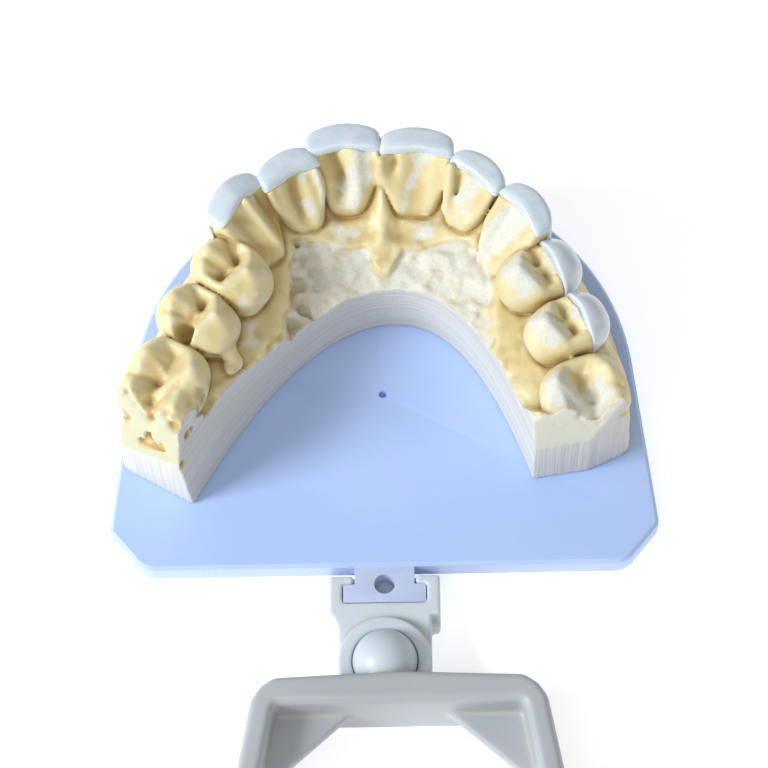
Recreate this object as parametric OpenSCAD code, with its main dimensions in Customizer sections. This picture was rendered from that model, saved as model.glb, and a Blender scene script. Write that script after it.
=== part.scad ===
// Plaster-cast dental articulator, laid open flat on a table with both casts facing up.
// +Z is up, +Y runs from the bow hinge towards the upper front teeth, and the hinge axis lies at Y = 0.

/* [Base plates] */
// Widest width of each base plate
plate_w = 65; // [62:0.5:68]
// Radius of each plate's round front
front_r = 30.6; // [29.5:0.1:31]
// Distance from a plate's straight rear edge to the centre of its round front
front_y = 24; // [23:0.5:25]
// Straight length of a plate's rear edge
rear_w = 54; // [50:0.5:56]
// Height of a plate's top face above the table
plate_top = 4.5; // [4.3:0.1:4.7]
// Thickness of a plate's slab
slab_t = 2.7; // [2.4:0.1:3]
// Diameter of the small hole in the middle of a plate
centre_hole_d = 1; // [0.8:0.1:1.6]
// Distance of the small hole from the rear edge
centre_hole_y = 22.7; // [20:0.1:25]

/* [Coupling tab] */
// Width of the tab's neck
neck_w = 7; // [6.4:0.1:7.4]
// Width of the tab's head
head_w = 9.7; // [9:0.1:9.8]
// Distance from the plate's rear edge to the head
head_y = 2.17; // [2.1:0.01:2.3]
// Distance from the plate's rear edge to the tab's end
tab_l = 4.45; // [4.4:0.01:4.6]
// Diameter of the hole in the tab
tab_hole_d = 2.45; // [2:0.05:2.8]

/* [Socket connectors] */
// Width over a connector's two arms
arms_w = 13; // [12.8:0.1:13.4]
// Width of a connector's body beside the socket
body_w = 10.9; // [10.6:0.1:11.2]
// Height of a connector's arms and body above the table
body_top = 4.3; // [4.2:0.1:4.4]
// Height of the socket's raised ring above the table
ring_top = 5.5; // [5.2:0.1:5.7]
// Outer radius of the socket's raised ring
ring_r = 5.45; // [5.3:0.05:5.5]
// Distance from the plate's rear edge to the ball's centre
socket_y = 12.2; // [12:0.1:12.6]

/* [Bows] */
// Distance from the hinge axis to a bow's ball centre
bow_l = 46; // [45:0.5:48]
// Depth of a bow, top to bottom
bow_h = 9.4; // [9:0.1:9.6]
// Diameter of a bow's ball
ball_d = 7.6; // [7.2:0.1:7.8]
// Thickness of a bow's legs
leg_t = 2.8; // [2.6:0.1:3]
// Thickness of a bow's crossbar
bar_t = 3.3; // [3.1:0.1:3.4]
// Sideways set of both bows from the plates' centreline
bow_x = 1.6; // [0:0.1:2]
// Distance from the bow's middle to the middle of the upper bow's leg, at the crossbar
upper_bow_x = 15.2; // [15:0.1:15.6]
// How far outwards each leg runs between its crossbar and its hinge end
leg_flare = 4.6; // [4:0.1:5]
// Length of the straight hinge end of each leg
hinge_end_l = 14; // [13:0.5:16]
// Thickness of the triangular corner webs
web_t = 1.6; // [1.2:0.1:2]

/* [Hinge pins] */
// Diameter of a hinge pin
pin_d = 3; // [2.8:0.1:3.2]
// Diameter of a hinge pin's head
pin_head_d = 5.8; // [5:0.1:6.4]
// Thickness of a hinge pin's head
pin_head_t = 1.2; // [1:0.1:1.5]

/* [Casts] */
// Height of a cast's trimmed base
base_h = 9; // [8:0.1:9.5]
// Greatest height of the upper teeth above their plate
upper_teeth_h = 20.4; // [20:0.1:20.5]
// Greatest height of the lower teeth above their plate
lower_teeth_h = 18.2; // [17.8:0.1:18.4]
// Thickness of a veneer
veneer_t = 2.2; // [1.8:0.1:2.4]

/* [Hidden] */
$fn = 64;

// Clearances
run_gap = 0.05;      // running fits: the balls in their sockets, the pins in the lower bow
side_gap = 0.4;      // between the two bows' flat hinge ends
bond_gap = 0.03;     // bond line behind a veneer

// Heights
foot_h = plate_top - slab_t;
axis_z = 4.8;
tab_top = plate_top - 0.4;
tab_bottom = foot_h + 0.1;
floor_bottom = 0.3;
floor_top = 1.7;
gum_z = plate_top + base_h + 1.5;
upper_top = plate_top + upper_teeth_h;
lower_top = plate_top + lower_teeth_h;

// Places along Y, measured from the hinge axis
plate_y = bow_l + socket_y;
bar_y = bow_l - 4.3;

// The lower bow nests inside the upper bow at the hinge
lower_bow_x = upper_bow_x - leg_t - side_gap;
upper_end_x = upper_bow_x + leg_flare;

plate_colour = [0.74, 0.79, 0.96];
cast_colour = [0.93, 0.85, 0.62];
veneer_colour = [0.87, 0.91, 0.95];
white_plastic = [0.90, 0.92, 0.94];

// One row for each tooth on one side, from the midline back: where it stands from the midline and
// from the plate's rear edge, how far it turns outwards, its width along the arch, its depth, its
// height below the tallest tooth, and whether it has cusps
upper_row = [
    [4.4, 44.8, 8, 8.5, 6.4, 0, false],
    [11.2, 41.2, 34, 6.7, 5.8, 0.5, false],
    [16.4, 36.2, 52, 7.6, 7.2, 0.1, false],
    [18.4, 29.6, 66, 6.9, 9.0, 2.4, true],
    [21.2, 23.2, 72, 6.8, 9.2, 2.9, true],
    [23.6, 14.9, 76, 9.4, 10.4, 3.6, true]
];
lower_row = [
    [2.7, 41.6, 5, 5.2, 5.4, 0, false],
    [7.8, 40.2, 18, 5.6, 5.6, 0.1, false],
    [12.7, 36.6, 42, 6.6, 6.8, 0, false],
    [16.2, 30.8, 62, 6.8, 7.2, 1.6, true],
    [18.8, 24.2, 70, 6.9, 7.8, 2.2, true],
    [21.6, 15.6, 75, 9.8, 9.4, 2.8, true]
];

module upper_side() translate([0, plate_y, 0]) children();
module lower_side() rotate([0, 0, 180]) translate([0, plate_y, 0]) children();

// ---- base plates ----

module plate_outline(inset) {
    hull() {
        translate([0, front_y]) intersection() {
            circle(r = front_r - inset, $fn = 120);
            translate([-front_r, 0]) square(2 * front_r);
        }
        for (s = [-1, 1]) {
            translate([s * (plate_w / 2 - 1.2), 5.4]) circle(r = 1.2 - inset, $fn = 24);
            translate([s * rear_w / 2, 3]) circle(r = 3 - inset, $fn = 32);
        }
    }
}

module plate_ribs() {
    intersection() {
        linear_extrude(foot_h + 0.2) offset(delta = -3) plate_outline(0);
        union() {
            linear_extrude(foot_h + 0.2) difference() {
                offset(delta = -3) plate_outline(0);
                offset(delta = -4.5) plate_outline(0);
            }
            for (x = [-18, -6, 6, 18]) translate([x - 0.6, 0, 0]) cube([1.2, 60, foot_h + 0.2]);
            for (y = [14, 36]) translate([-35, y - 0.6, 0]) cube([70, 1.2, foot_h + 0.2]);
        }
    }
}

module base_plate() {
    color(plate_colour) difference() {
        union() {
            hull() {
                translate([0, 0, foot_h]) linear_extrude(slab_t - 0.4) plate_outline(0);
                translate([0, 0, foot_h]) linear_extrude(slab_t) plate_outline(0.4);
            }
            plate_ribs();
            translate([-neck_w / 2, -head_y, tab_bottom])
                cube([neck_w, head_y + 1, tab_top - tab_bottom]);
            translate([-head_w / 2, -tab_l, tab_bottom])
                cube([head_w, tab_l - head_y, tab_top - tab_bottom]);
        }
        translate([0, -head_y, tab_bottom - 1]) cylinder(d = tab_hole_d, h = 5);
        translate([0, centre_hole_y, foot_h - 1]) cylinder(d = centre_hole_d, h = slab_t + 2, $fn = 32);
    }
}

module upper_base_plate() upper_side() base_plate();
module lower_base_plate() lower_side() base_plate();

// ---- socket connectors ----

module connector() {
    arm_in = head_w / 2 + 0.08;
    hook_in = neck_w / 2 + 0.15;
    slot_end = tab_l + run_gap;
    jaw_end = socket_y + 1.8;
    color(white_plastic) difference() {
        union() {
            // floor under the tab and the whole body
            translate([0, 0, floor_bottom]) linear_extrude(floor_top - floor_bottom) polygon([
                [-arms_w / 2, -0.3], [arms_w / 2, -0.3], [arms_w / 2, -6.8], [arms_w / 2 - 0.4, -7.2],
                [body_w / 2, -7.2], [body_w / 2, -jaw_end], [-body_w / 2 + 0.6, -jaw_end],
                [-body_w / 2, -socket_y], [-body_w / 2, -7.7], [-arms_w / 2, -5.4]
            ]);
            // arms with the hooks that hold the tab's head
            for (s = [-1, 1]) translate([0, 0, floor_bottom]) {
                linear_extrude(body_top - floor_bottom) polygon([
                    [s * arms_w / 2, -1.1], [s * arms_w / 2, -6.1], [s * arm_in, -6.1],
                    [s * arm_in, -head_y + run_gap], [s * hook_in, -head_y + run_gap],
                    [s * hook_in, -1.1]
                ]);
            }
            // body with its slanted left shoulder
            translate([0, 0, floor_bottom]) linear_extrude(body_top - floor_bottom) polygon([
                [-arms_w / 2 + 0.5, -slot_end], [arms_w / 2 - 0.5, -slot_end], [arms_w / 2 - 0.5, -6.1],
                [body_w / 2, -6.1], [body_w / 2, -jaw_end], [-body_w / 2 + 0.6, -jaw_end],
                [-body_w / 2, -socket_y], [-body_w / 2, -7.7], [-arms_w / 2, -5.4]
            ]);
            // low step behind the right arm
            translate([body_w / 2 - 0.5, -7, floor_bottom])
                cube([arms_w / 2 - body_w / 2 + 0.5, 1.2, 2.3]);
            // raised ring round the socket
            intersection() {
                translate([0, -socket_y, floor_bottom])
                    cylinder(r = ring_r, h = ring_top - floor_bottom);
                translate([-arms_w, -jaw_end, 0]) cube([2 * arms_w, jaw_end, 10]);
            }
        }
        translate([0, -socket_y, axis_z]) sphere(d = ball_d + 2 * run_gap, $fn = 96);
    }
}

module upper_connector() upper_side() connector();
module lower_connector() lower_side() connector();

// ---- bows ----

// Upright post with softened ends: the posts of one bar are hulled together
module post(x, y, t) {
    translate([x, y, axis_z]) {
        cylinder(d = t, h = bow_h - 1.4, center = true, $fn = 32);
        cylinder(d = t - 1, h = bow_h, center = true, $fn = 32);
    }
}

// A bow with its crossbar towards +Y; leg_x is half the distance between its legs at the crossbar
module bow(leg_x, bore_d) {
    end_x = leg_x + leg_flare;
    corner_r = 1.6;
    corner_mid = corner_r * (1 - sin(45));
    corner_y = bar_y - 0.55;
    web_y = bar_y - 11.1;
    color(white_plastic) {
        difference() {
            translate([bow_x, 0, 0]) union() {
                hull() {
                    post(corner_r - leg_x, corner_y, bar_t);
                    post(0, bar_y, bar_t);
                    post(leg_x - corner_r, corner_y, bar_t);
                }
                for (s = [-1, 1]) {
                    hull() {
                        post(s * (leg_x - corner_r), corner_y, bar_t);
                        post(s * (leg_x - corner_mid), corner_y - corner_mid, leg_t);
                    }
                    hull() {
                        post(s * (leg_x - corner_mid), corner_y - corner_mid, leg_t);
                        post(s * (leg_x + 0.25), corner_y - corner_r, leg_t);
                    }
                    hull() {
                        post(s * (leg_x + 0.25), corner_y - corner_r, leg_t);
                        post(s * end_x, hinge_end_l, leg_t);
                    }
                    translate([s * end_x - leg_t / 2, 0, axis_z - bow_h / 2])
                        cube([leg_t, hinge_end_l, bow_h]);
                    translate([s * end_x, 0, axis_z]) rotate([0, 90, 0])
                        cylinder(d = bow_h, h = leg_t, center = true);
                    translate([0, 0, axis_z - web_t / 2]) linear_extrude(web_t) polygon([
                        [s * 3, bar_y], [s * (leg_x - 1), bar_y - 1],
                        [s * (leg_x + 2), web_y], [s * (leg_x + 0.2), web_y]
                    ]);
                }
            }
            translate([bow_x, 0, axis_z]) rotate([0, 90, 0]) cylinder(d = bore_d, h = 60, center = true);
        }
        translate([0, bow_l, axis_z]) sphere(d = ball_d, $fn = 96);
    }
}

module upper_bow() bow(upper_bow_x, pin_d);
module lower_bow() mirror([0, 1, 0]) bow(lower_bow_x, pin_d + 2 * run_gap);

// ---- hinge pins ----

module hinge_pin(side) {
    shank_l = leg_t * 2 + side_gap + 0.3;
    head_in = upper_end_x + leg_t / 2;
    color(white_plastic) translate([bow_x, 0, axis_z]) rotate([0, side * 90, 0]) {
        translate([0, 0, head_in - shank_l]) cylinder(d = pin_d, h = shank_l + 0.5);
        translate([0, 0, head_in]) cylinder(d = pin_head_d, h = pin_head_t);
    }
}

module hinge_pin_left() hinge_pin(-1);
module hinge_pin_right() hinge_pin(1);

// ---- casts ----

module on_tooth(row, side) {
    translate([side * row[0], row[1], 0]) rotate([0, 0, -side * row[2]]) children();
}

// One crown: straight-sided at the gum, narrowing to a biting edge or to a cusped table
module crown(row, top) {
    w = row[3];
    d = row[4];
    tip = top - row[5];
    edge_d = row[6] ? d * 0.55 : 2.2;
    lean = row[6] ? 0 : d / 2 - 1.4;
    r = 1.1;
    hull() {
        for (sx = [-1, 1], sy = [-1, 1]) {
            translate([sx * (w * 0.42 - r), sy * (d * 0.44 - r), gum_z - 3])
                cylinder(r = r, h = 3, $fn = 16);
            translate([sx * (w / 2 - r), sy * (edge_d / 2 - r) + lean, tip - 3])
                cylinder(r = r, h = 2.4, $fn = 16);
            translate([sx * (w / 2 - r - 0.4), sy * (edge_d / 2 - r) + lean, tip - 1])
                cylinder(r = r - 0.4, h = 1, $fn = 16);
        }
    }
}

// Space in front of a prepared tooth that its veneer fills
module veneer_space(row, gap) {
    front = row[4] / 2 + 0.4;
    translate([-row[3], front - veneer_t - gap, gum_z]) cube([2 * row[3], 10, 20]);
}

module veneer(row, side) {
    r = 1.05;
    w = row[3] / 2 - r - 0.1;
    front = row[4] / 2 + 0.4 - r;
    tip = upper_top - row[5];
    color(veneer_colour) upper_side() on_tooth(row, side) intersection() {
        hull() {
            for (sx = [-1, 1]) {
                translate([sx * (w - 0.5), front, gum_z + 0.1]) cylinder(r = r - 0.5, h = 0.5, $fn = 20);
                translate([sx * w, front, gum_z + 4]) cylinder(r = r, h = tip - gum_z - 5, $fn = 20);
                translate([sx * (w - 0.4), front - 0.3, gum_z + 4])
                    cylinder(r = r - 0.4, h = tip - gum_z - 4, $fn = 20);
                translate([sx * w, front - 2, gum_z + 4]) cylinder(r = r, h = tip - gum_z - 5, $fn = 20);
            }
        }
        veneer_space(row, 0);
    }
}

// Horseshoe of trimmed plaster with a parabolic inside. A larger left_open widens it on the left.
module cast_base(left_end, right_end, inside_y, left_reach = 17.6, left_open = 3.9) {
    inside = [for (x = [-left_reach:1.6:17.6]) [x, inside_y - pow(x / (x < 0 ? left_open : 3.9), 2)]];
    outside = [for (a = [18:12:162]) [29.4 * cos(a), 21.8 + 29.4 * sin(a)]];
    polygon(concat(inside, right_end, outside, left_end));
}

module upper_cast() {
    left_end = [[-31.2, 21], [-31.6, 13.8], [-22.7, 8.3], [-21.2, 10.8]];
    right_end = [[17.9, 10.9], [25, 11.7], [30.4, 18]];
    color(cast_colour) upper_side() {
        translate([0, 0, plate_top]) linear_extrude(base_h) cast_base(left_end, right_end, 32, 19.2, 4.4);
        translate([0, 0, plate_top + base_h - 1]) linear_extrude(gum_z - plate_top - base_h)
            offset(delta = -2) cast_base(left_end, right_end, 31, 19.2, 4.4);
        for (side = [-1, 1], i = [0:5]) {
            veneered = side > 0 ? i < 5 : i < 3;
            on_tooth(upper_row[i], side) difference() {
                crown(upper_row[i], upper_top);
                if (veneered) veneer_space(upper_row[i], bond_gap);
            }
        }
    }
}

module lower_cast() {
    left_end = [[-29, 20], [-29, 9.5], [-17.9, 9.5]];
    right_end = [[17.9, 9.5], [29, 9.5], [29, 20]];
    color(cast_colour) lower_side() {
        translate([0, 0, plate_top]) linear_extrude(base_h - 1) cast_base(left_end, right_end, 31);
        translate([0, 0, plate_top + base_h - 2]) linear_extrude(gum_z - plate_top - base_h)
            offset(delta = -2) cast_base(left_end, right_end, 30);
        for (side = [-1, 1], row = lower_row) on_tooth(row, side) crown(row, lower_top);
    }
}

module veneer_left_canine() veneer(upper_row[2], -1);
module veneer_left_lateral() veneer(upper_row[1], -1);
module veneer_left_central() veneer(upper_row[0], -1);
module veneer_right_central() veneer(upper_row[0], 1);
module veneer_right_lateral() veneer(upper_row[1], 1);
module veneer_right_canine() veneer(upper_row[2], 1);
module veneer_right_premolar_1() veneer(upper_row[3], 1);
module veneer_right_premolar_2() veneer(upper_row[4], 1);

upper_base_plate();
upper_cast();
veneer_left_canine();
veneer_left_lateral();
veneer_left_central();
veneer_right_central();
veneer_right_lateral();
veneer_right_canine();
veneer_right_premolar_1();
veneer_right_premolar_2();
upper_connector();
upper_bow();
hinge_pin_left();
hinge_pin_right();
lower_bow();
lower_connector();
lower_base_plate();
lower_cast();
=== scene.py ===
"""A plaster-cast dental articulator, laid open flat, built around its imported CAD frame.

Lengths in this script are millimetres in a plate's own frame: x across, y forwards from the plate's straight
rear edge, z up from the table. They become metres in the row frame when a mesh is made.
"""

import math

import bmesh
import bpy
import numpy as np
import openvdb as vdb
from mathutils import Matrix, Vector


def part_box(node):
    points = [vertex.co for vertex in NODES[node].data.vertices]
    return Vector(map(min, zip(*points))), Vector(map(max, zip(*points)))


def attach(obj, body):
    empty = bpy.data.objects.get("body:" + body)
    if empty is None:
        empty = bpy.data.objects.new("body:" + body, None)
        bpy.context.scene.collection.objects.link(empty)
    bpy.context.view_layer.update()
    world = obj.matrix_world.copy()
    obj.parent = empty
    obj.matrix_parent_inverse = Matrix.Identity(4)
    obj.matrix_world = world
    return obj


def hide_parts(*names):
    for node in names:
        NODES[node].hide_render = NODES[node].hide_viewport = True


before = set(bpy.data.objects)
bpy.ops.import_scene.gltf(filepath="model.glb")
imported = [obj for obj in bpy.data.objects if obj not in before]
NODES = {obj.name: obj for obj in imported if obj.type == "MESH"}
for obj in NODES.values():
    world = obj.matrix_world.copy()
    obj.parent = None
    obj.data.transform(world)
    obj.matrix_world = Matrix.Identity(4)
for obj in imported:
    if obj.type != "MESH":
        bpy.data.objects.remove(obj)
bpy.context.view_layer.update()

MM = 0.001

# ---- places taken from the frame, in millimetres ----


def node_box(name):
    """Two corners of a CAD node's box."""
    low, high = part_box(name)
    return np.array(low) / MM, np.array(high) / MM


TAB_LENGTH = 4.45  # how far a plate's coupling tab stands out behind its rear edge
REAR_Y = node_box("upper_base_plate")[0][1] + TAB_LENGTH
PLATE_TOP = node_box("upper_base_plate")[1][2]
UPPER_TOP = node_box("upper_cast")[1][2]
LOWER_TOP = node_box("lower_cast")[1][2]

BAR_Y = 43.4  # where a bow's crossbar ends and its ball begins, from the hinge


def add_to_scene(name, data):
    thing = bpy.data.objects.new(name, data)
    bpy.context.scene.collection.objects.link(thing)
    return thing


# ---- distance fields ----

FAR = 9.0  # a distance that stands for well outside


def smooth_min(a, b, k):
    """The smaller of two distances, blended where they are less than k apart."""
    h = np.clip(0.5 + 0.5 * (b - a) / k, 0, 1)
    return b + (a - b) * h - k * h * (1 - h)


def smooth_max(a, b, k):
    return -smooth_min(-a, -b, k)


def ramp(x, a, b):
    """From 0 at a to 1 at b, with a soft start and end."""
    t = np.clip((x - a) / (b - a), 0, 1)
    return t * t * (3 - 2 * t)


def bell(x, centre, width):
    """1 at the centre, fading to nothing at about twice the width from it."""
    return np.exp(-(((x - centre) / width) ** 2))


class Block:
    """A block of sample points, with the distance to a solid's surface at each, negative inside."""

    def __init__(self, low, high, step):
        self.low = np.array(low, float)
        self.step = step
        self.axes = [np.arange(a, b + step, step, dtype=np.float32) for a, b in zip(low, high)]
        self.x, self.y, self.z = np.meshgrid(*self.axes, indexing="ij", sparse=True)
        self.shape = tuple(len(a) for a in self.axes)
        self.distance = np.full(self.shape, FAR, np.float32)

    def window(self, low, high):
        """Slices for the part of the block between two corners."""
        found = []
        for i in range(3):
            first = int(max(0, (low[i] - self.low[i]) / self.step))
            last = int(min(self.shape[i], (high[i] - self.low[i]) / self.step + 2))
            found.append(slice(first, max(first + 1, last)))
        return tuple(found)

    def coordinates(self, window):
        """The x, y and z of the samples in a window."""
        sx, sy, sz = window
        return self.x[sx], self.y[:, sy], self.z[:, :, sz]

    def noise(self, cell, seed):
        """Smooth noise, mostly between -1 and 1, whose bumps are about cell across."""
        rng = np.random.RandomState(seed)
        weights = []
        for axis in self.axes:
            t = (axis - axis[0]) / cell
            base = np.floor(t).astype(int)
            f = t - base
            w = np.zeros((len(axis), base[-1] + 4), np.float32)
            rows = np.arange(len(axis))
            w[rows, base] = (1 - f) ** 3 / 6
            w[rows, base + 1] = (3 * f**3 - 6 * f**2 + 4) / 6
            w[rows, base + 2] = (-3 * f**3 + 3 * f**2 + 3 * f + 1) / 6
            w[rows, base + 3] = f**3 / 6
            weights.append(w)
        lattice = rng.uniform(-2, 2, [w.shape[1] for w in weights]).astype(np.float32)
        lattice = np.tensordot(weights[0], lattice, (1, 0))
        lattice = np.tensordot(lattice, weights[1], (1, 1)).transpose(0, 2, 1)
        return np.tensordot(lattice, weights[2], (2, 1))

    def sample(self, values, points):
        """Values at points, blended between the nearest samples."""
        t = (points - self.low) / self.step
        t = np.clip(t, 0, np.array(self.shape) - 1.001)
        i = t.astype(int)
        f = t - i
        total = np.zeros(len(points))
        for corner in np.ndindex(2, 2, 2):
            weight = np.prod(np.where(corner, f, 1 - f), axis=1)
            j = i + corner
            total += weight * values[j[:, 0], j[:, 1], j[:, 2]]
        return total

    def blurred(self, values, reach):
        """Values averaged over a small cube reach samples to each side."""
        out = values.astype(np.float32)
        for axis in range(3):
            before = np.repeat(out.take([0], axis), reach + 1, axis)
            after = np.repeat(out.take([-1], axis), reach, axis)
            padded = np.concatenate([before, out, after], axis)
            total = np.cumsum(padded, axis, dtype=np.float64)
            size = out.shape[axis]
            ahead = total.take(range(2 * reach + 1, 2 * reach + 1 + size), axis)
            behind = total.take(range(0, size), axis)
            out = ((ahead - behind) / (2 * reach + 1)).astype(np.float32)
        return out


def skin(name, block, masks=None, turned=False, placed=False):
    """A mesh object round a block's solid. Masks are values per sample, kept as attributes of the points.

    turned is for the lower member, which lies the other way round. placed is for points that are already in
    the row frame.
    """
    grid = vdb.FloatGrid(FAR)
    grid.copyFromArray(np.clip(block.distance, -2, FAR).astype(np.float32))
    points, quads = grid.convertToQuads(0.0)
    points = points * block.step + block.low
    a, b, c = (points[quads[:, i]] for i in range(3))
    if np.einsum("ij,ij->i", a, np.cross(b, c)).sum() < 0:
        quads = quads[:, ::-1]
    mesh = bpy.data.meshes.new(name)
    sign = -1 if turned else 1
    there = points if placed else points * (sign, sign, 1) + (0, sign * REAR_Y, 0)
    mesh.from_pydata((there * MM).tolist(), [], quads.tolist())
    mesh.update()
    for key, values in (masks or {}).items():
        attribute = mesh.attributes.new(key, "FLOAT", "POINT")
        attribute.data.foreach_set("value", block.sample(values, points).astype(np.float32))
    mesh.shade_smooth()
    return add_to_scene(name, mesh)


# ---- teeth ----


def near_line(u, v, start, end):
    """Distance from each point to the straight line between two points."""
    t = along_line(u, v, start, end)
    du, dv = end[0] - start[0], end[1] - start[1]
    return np.sqrt((u - start[0] - t * du) ** 2 + (v - start[1] - t * dv) ** 2)


def along_line(u, v, start, end):
    """How far along the line between two points each point lies, from 0 to 1."""
    du, dv = end[0] - start[0], end[1] - start[1]
    return np.clip(((u - start[0]) * du + (v - start[1]) * dv) / (du * du + dv * dv + 1e-9), 0, 1)


def marks_depth(marks, q, p):
    """Sum of soft strokes. Each is (q0, p0, q1, p1, width, depth), and a negative depth stands proud."""
    total = 0.0
    for q0, p0, q1, p1, width, depth in marks:
        total = total + depth * bell(near_line(q, p, (q0, p0), (q1, p1)), 0, width)
    return total


class Tooth:
    """One tooth of an arch: where it stands, how it is turned and its sizes. side is -1 at the left.

    Marks are strokes on a front tooth's inner face or a back tooth's biting face. Their places are shares:
    of the half width, +1 at the end nearer the front of the arch, and of the rise from gum to edge, or of the
    half depth, +1 outside. A tooth with crests is a back tooth.
    """

    defaults = {
        "lean": 0.10,  # outward lean, as a slope
        "edge": 2.2,  # thickness of a front tooth's biting edge
        "heel": 0.0,  # how far the inner heel is set to one side, as a share of the half width
        "taper": 0.5,  # how much narrower the inner side is
        "veneer": 0.0,  # thickness of the veneer at the top, with none for 0
        "veneer_edge": 0.8,  # and lower down
        "ridge": 0.0,  # how far a front tooth's edge falls away from a peak at its middle
        "round": 0.9,  # rounding between the faces
        "power": 2.6,  # squareness of a back tooth's outline
        "floor": 3.4,  # depth of a back tooth's grooves
        "marks": (),
        "worn": (),
        "crests": (),
    }

    def __init__(self, name, side, x, y, turn, width, depth, tip, gum, **extra):
        self.name, self.side = name, side
        self.centre = np.array([side * x, y])
        angle = math.radians(turn)
        self.outward = np.array([side * math.sin(angle), math.cos(angle)])
        self.forward = np.array([-side * math.cos(angle), math.sin(angle)])
        self.width, self.depth, self.gum, self.height = width, depth, gum, tip - gum
        for key, value in {**self.defaults, **extra}.items():
            setattr(self, key, value)

    def local(self, x, y, z):
        """Places along the arch, outwards and up from the gum."""
        dx, dy = x - self.centre[0], y - self.centre[1]
        along = dx * self.forward[0] + dy * self.forward[1]
        out = dx * self.outward[0] + dy * self.outward[1]
        return along, out, z - self.gum

    def reach(self, extra=2.0):
        """Two corners of a box round the tooth."""
        r = 0.6 * max(self.width, self.depth) + extra
        low = (self.centre[0] - r, self.centre[1] - r, self.gum - 5)
        high = (self.centre[0] + r, self.centre[1] + r, self.gum + self.height + 1.5)
        return low, high

    def distance(self, x, y, z, plain=False):
        """Distance to the crown. A plain one has no marks, as its veneer hasn't."""
        u, v, w = self.local(x, y, z)
        v = v - self.lean * np.clip(w, 0, None)
        if self.crests:
            return self.back(u, v, w, plain)
        return self.front(u, v, w, () if plain else self.marks)

    def face(self, u, w):
        """How far out the lip side lies."""
        rise = np.clip(w / self.height, 0, 1)
        q = u / (self.width / 2)
        return self.depth / 2 + 0.5 * np.sin(math.pi * rise * 0.9) - 0.9 * q**2 - 0.3 * q**4

    def front(self, u, v, w, marks):
        """An incisor or canine: an inner face that climbs from its heel to a thin edge."""
        half = self.width / 2
        rise = np.clip(w / self.height, -0.2, 1.1)
        q = u / half
        face = self.face(u, w)
        climb = ramp(rise, 0.14, 1.0) * 0.5 + np.clip((rise - 0.14) / 0.86, 0, 1) * 0.5
        heel = -self.depth / 2 + 0.9 * (q - self.heel) ** 2
        back = heel * (1 - climb) + (self.depth / 2 - self.edge) * climb
        back = back + marks_depth(marks, q, rise)
        inward = np.clip((-v - 0.2) / (self.depth / 2), 0, 1.1)
        narrow = self.taper * inward**1.5 * (1 - 0.5 * ramp(rise, 0.45, 0.9))
        side = half * (0.92 + 0.08 * ramp(rise, 0.0, 0.5)) * (1 - narrow)
        centre = self.heel * half * inward * 0.8
        d = smooth_max(v - face, back - v, self.round)
        d = smooth_max(d, np.abs(u - centre) - side, 0.7)
        top = self.height - self.ridge * np.abs(q) ** 1.4 - 0.25 * q**2
        return smooth_max(d * 0.85, w - top, 0.9)

    def table(self, u, v):
        """Height of the biting face: crests that fall away and meet in grooves, less the marks."""
        q, p = u / (self.width / 2), v / (self.depth / 2)
        top = np.full(np.broadcast(u, v).shape, self.height - self.floor)
        scale = (self.width / 2, self.depth / 2)
        for q0, p0, drop0, q1, p1, drop1, steep in self.crests:
            start, end = (q0 * scale[0], p0 * scale[1]), (q1 * scale[0], p1 * scale[1])
            far = near_line(u, v, start, end)
            share = along_line(u, v, start, end)
            crest = self.height - drop0 - (drop1 - drop0) * share
            top = smooth_max(top, crest - steep * (np.sqrt(far**2 + 0.12) - 0.35), 0.3)
        return top - marks_depth(self.marks, q, p)

    def back(self, u, v, w, plain):
        """A premolar or molar: a bulging wall under a biting face, or under a smooth dome if plain."""
        rise = np.clip(w / self.height, -0.3, 1.1)
        swell = 0.82 + 0.18 * np.sin(math.pi * np.clip(rise * 0.95 + 0.08, 0, 1))
        swell = swell * (1 - 0.10 * ramp(rise, 0.55, 1.1))
        q, p = u / (self.width / 2), v / (self.depth / 2)
        q = q * (1 + self.taper * 0.25 * np.clip(-p, 0, 1))
        r = (np.abs(q) ** self.power + np.abs(p) ** self.power) ** (1 / self.power)
        wall = (r - swell) * min(self.width, self.depth) / 2
        if plain:
            dome = self.height - 0.1 - 0.05 * u**2 - 0.06 * (v - 0.25 * self.depth) ** 2
            return smooth_max(wall, w - dome, 1.8)
        return smooth_max(wall, (w - self.table(u, v)) * 0.8, self.round)

    def wear(self, x, y, z):
        """Where the yellow skin of the stone has been scraped or bitten white, from 0 to 1."""
        u, v, w = self.local(x, y, z)
        q = u / (self.width / 2)
        p = v / (self.depth / 2) if self.crests else w / self.height
        total = 0.0
        for q0, p0, q1, p1, width, amount in self.worn:
            total = np.maximum(total, amount * bell(near_line(q, p, (q0, p0), (q1, p1)), 0, width))
        return total * ramp(w, 0, 1.5)


def premolar_crests(lip, inner, mesial=1.1, distal=1.3, skew=0.0):
    """Crests of a two-cusped tooth, as two ends with the drop below the top at each, and a steepness.

    lip and inner are the drops of the two cusps, mesial and distal those of the rims between them, and skew
    sets the lip cusp to one side.
    """
    return (
        (-0.75, 0.45, lip + 1.0, skew, 0.64, lip, 0.85),
        (skew, 0.64, lip, 0.75, 0.48, lip + 0.9, 0.85),
        (skew, 0.64, lip, 0.05, 0.08, 1.6, 0.8),
        (-0.72, -0.25, inner + 1.0, 0.1, -0.48, inner, 0.95),
        (0.1, -0.48, inner, 0.75, -0.15, inner + 0.8, 0.95),
        (0.1, -0.48, inner, 0.0, -0.02, 1.8, 1.1),
        (0.80, 0.45, mesial, 0.78, -0.15, mesial + 0.2, 1.1),
        (-0.80, 0.45, distal, -0.75, -0.25, distal + 0.2, 1.1),
    )


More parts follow.
